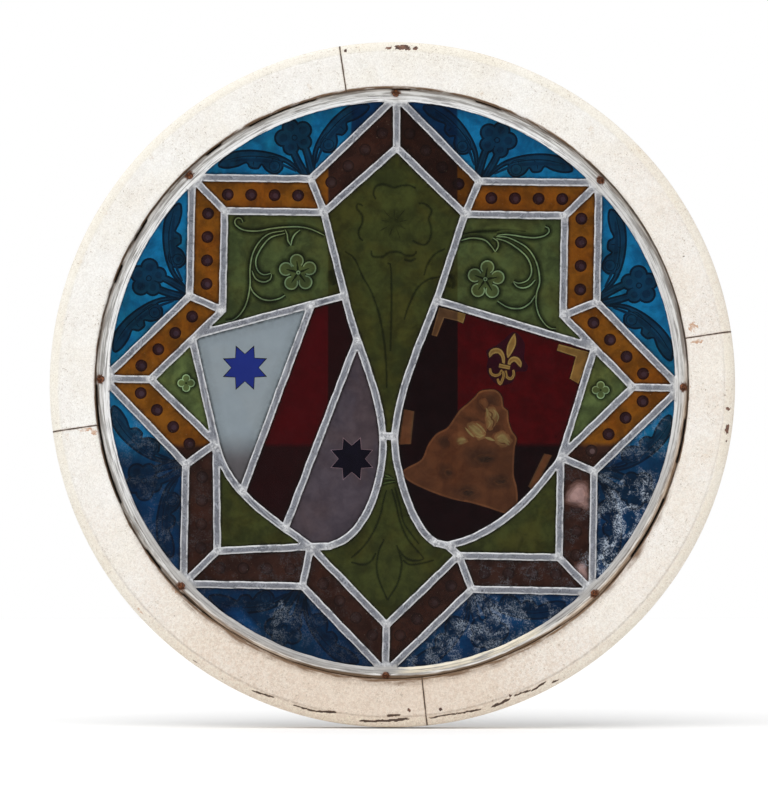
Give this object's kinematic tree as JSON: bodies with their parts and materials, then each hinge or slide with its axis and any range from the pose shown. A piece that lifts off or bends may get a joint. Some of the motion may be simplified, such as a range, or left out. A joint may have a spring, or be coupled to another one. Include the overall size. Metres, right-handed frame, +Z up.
{
  "type": "stained glass roundel",
  "caption": "Round leaded glass panel with an eight-pointed star border round two shields, in a rebated frame of painted timber.",
  "frame": {"origin": "on the flat back face of the timber ring, at its top, half way across the timber", "axes": "+Y out of the back towards the wall, -Y the front, +Z up, +X to the right seen from the front"},
  "size_m": [0.7597, 0.042, 0.7598],
  "materials": {
    "painted_timber": "aged cream paint, crazed and chipped",
    "lead_came": "oxidised lead and solder, dull",
    "putty": "weathered linseed putty with old paint",
    "rusty_iron": "rusted",
    "blue_glass": "painted with dark leaf sprays, dusty towards the bottom",
    "amber_glass": "painted with round dark dots",
    "green_glass": "painted with scrolls and flowers",
    "pale_glass": "obscured, with one blue star",
    "red_glass": "plain",
    "grey_glass": "obscured, with one dark star",
    "ruby_glass": "painted with a fleur-de-lis, brackets and a brown patch"
  },
  "bodies": {
    "root": {"band_pane_1": "amber_glass", "band_pane_10": "amber_glass", "band_pane_11": "amber_glass", "band_pane_12": "amber_glass", "band_pane_13": "amber_glass", "band_pane_14": "amber_glass", "band_pane_15": "amber_glass", "band_pane_16": "amber_glass", "band_pane_2": "amber_glass", "band_pane_3": "amber_glass", "band_pane_4": "amber_glass", "band_pane_5": "amber_glass", "band_pane_6": "amber_glass", "band_pane_7": "amber_glass", "band_pane_8": "amber_glass", "band_pane_9": "amber_glass", "blue_pane_1": "blue_glass", "blue_pane_2": "blue_glass", "blue_pane_3": "blue_glass", "blue_pane_4": "blue_glass", "blue_pane_5": "blue_glass", "blue_pane_6": "blue_glass", "blue_pane_7": "blue_glass", "blue_pane_8": "blue_glass", "glazing_nail_1": "rusty_iron", "glazing_nail_2": "rusty_iron", "glazing_nail_3": "rusty_iron", "glazing_nail_4": "rusty_iron", "glazing_nail_5": "rusty_iron", "glazing_nail_6": "rusty_iron", "glazing_nail_7": "rusty_iron", "glazing_nail_8": "rusty_iron", "green_pane_bottom": "green_glass", "green_pane_left": "green_glass", "green_pane_lower_left": "green_glass", "green_pane_lower_right": "green_glass", "green_pane_right": "green_glass", "green_pane_top": "green_glass", "green_pane_upper_left": "green_glass", "green_pane_upper_right": "green_glass", "lead_came_lattice": "lead_came", "left_shield_grey_pane": "grey_glass", "left_shield_pale_pane": "pale_glass", "left_shield_red_pane": "red_glass", "putty_ring": "putty", "right_shield_pane": "ruby_glass", "timber_segment_lower_left": "painted_timber", "timber_segment_lower_right": "painted_timber", "timber_segment_upper_left": "painted_timber", "timber_segment_upper_right": "painted_timber"}
  },
  "joints": []
}
